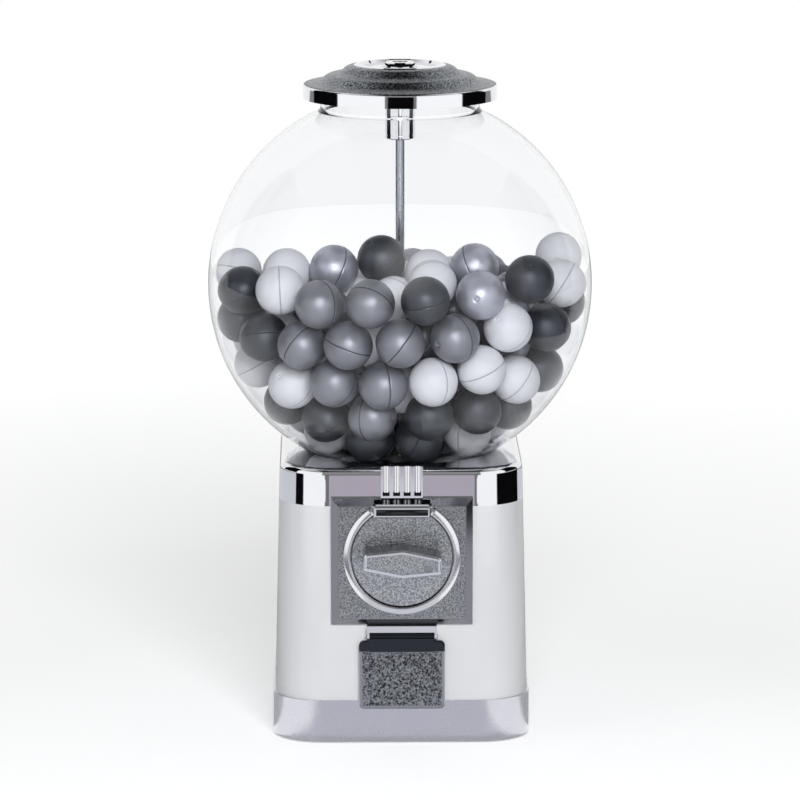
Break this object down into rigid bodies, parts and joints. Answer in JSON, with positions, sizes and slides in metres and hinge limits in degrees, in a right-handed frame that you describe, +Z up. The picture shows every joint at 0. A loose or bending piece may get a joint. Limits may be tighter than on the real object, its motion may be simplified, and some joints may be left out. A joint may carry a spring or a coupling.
{
  "type": "gumball machine",
  "caption": "Table-top gumball machine: clear globe of balls on a square body, with coin mechanism, turning knob, dispensing wheel, chute with flap door and locking lid.",
  "frame": {"origin": "on the table under the centre rod, in the middle of the four feet", "axes": "+Z up along the centre rod, -Y towards the knob and the flap door, +X to the right seen from the back"},
  "size_m": [0.2559, 0.256, 0.4428],
  "materials": {
    "satin_chrome": "satin chrome",
    "rubber": "matt black rubber",
    "white_enamel": "gloss white enamel",
    "chrome": "polished chrome",
    "grey_plastic": "moulded grey plastic",
    "steel": "plain steel",
    "brass": "turned brass",
    "clear_globe": "clear",
    "hammered_zinc": "hammered chromed zinc",
    "ball_silver": "pearly silver",
    "ball_black": "gloss charcoal",
    "ball_white": "gloss white",
    "ball_grey": "gloss grey"
  },
  "bodies": {
    "stand": {"base_tray": "satin_chrome", "rubber_feet": "rubber", "body_shell": "white_enamel", "top_collar": "chrome", "hopper_cup": "grey_plastic", "hopper_screws": "steel", "wheel_bush": "brass", "centre_rod": "steel", "rod_nuts": "steel", "rod_washers": "steel", "globe": "clear_globe", "mech_faceplate": "hammered_zinc", "coin_slot_hood": "chrome", "coin_guide": "chrome", "pawl_pin": "steel", "pawl_spring": "steel", "mech_back_plate": "steel", "mech_screws": "steel", "ball_deflector": "steel", "chute": "grey_plastic", "door_bracket": "chrome", "door_pin": "steel", "balls_silver": "ball_silver", "balls_black": "ball_black", "balls_white": "ball_white", "balls_grey": "ball_grey"},
    "knob": {"turn_knob": "hammered_zinc", "knob_shaft": "steel", "coin_carrier": "steel", "ratchet_wheel": "steel", "drive_pinion": "brass", "pinion_set_screw": "steel"},
    "wheel": {"dispensing_wheel": "grey_plastic", "balls_in_wheel": "ball_white"},
    "door": {"chute_door": "hammered_zinc"},
    "lid": {"lid": "chrome", "lock_housing": "chrome", "lock_nut": "chrome"},
    "lock": {"lock_plug": "steel", "rod_coupling": "chrome"},
    "pawl": {"ratchet_pawl": "steel"}
  },
  "joints": [
    {"name": "knob_turn", "type": "hinge", "parent": "stand", "child": "knob", "pos_m": [0, -0.09, 0.127], "axis": [0, 1, 0], "continuous": true},
    {"name": "wheel_turn", "type": "hinge", "parent": "stand", "child": "wheel", "pos_m": [0, 0, 0.15], "axis": [0, 0, 1], "continuous": true},
    {"name": "door_swing", "type": "hinge", "parent": "stand", "child": "door", "pos_m": [0, -0.0862, 0.073], "axis": [-1, 0, 0], "range_deg": [0, 70]},
    {"name": "lid_lift", "type": "slide", "parent": "stand", "child": "lid", "axis": [0, 0, 1], "range_m": [0, 0.06]},
    {"name": "lock_turn", "type": "hinge", "parent": "lid", "child": "lock", "pos_m": [0, 0, 0.44], "axis": [0, 0, 1], "continuous": true},
    {"name": "pawl_lift", "type": "hinge", "parent": "stand", "child": "pawl", "pos_m": [0.024, -0.081, 0.115], "axis": [0, 1, 0], "range_deg": [0, 8], "stiffness_Nm_per_rad": 0.02, "springref_deg": -17.19}
  ],
  "couplings": [
    {"joint": "wheel_turn", "follows": "knob_turn", "ratio": 0.2}
  ]
}
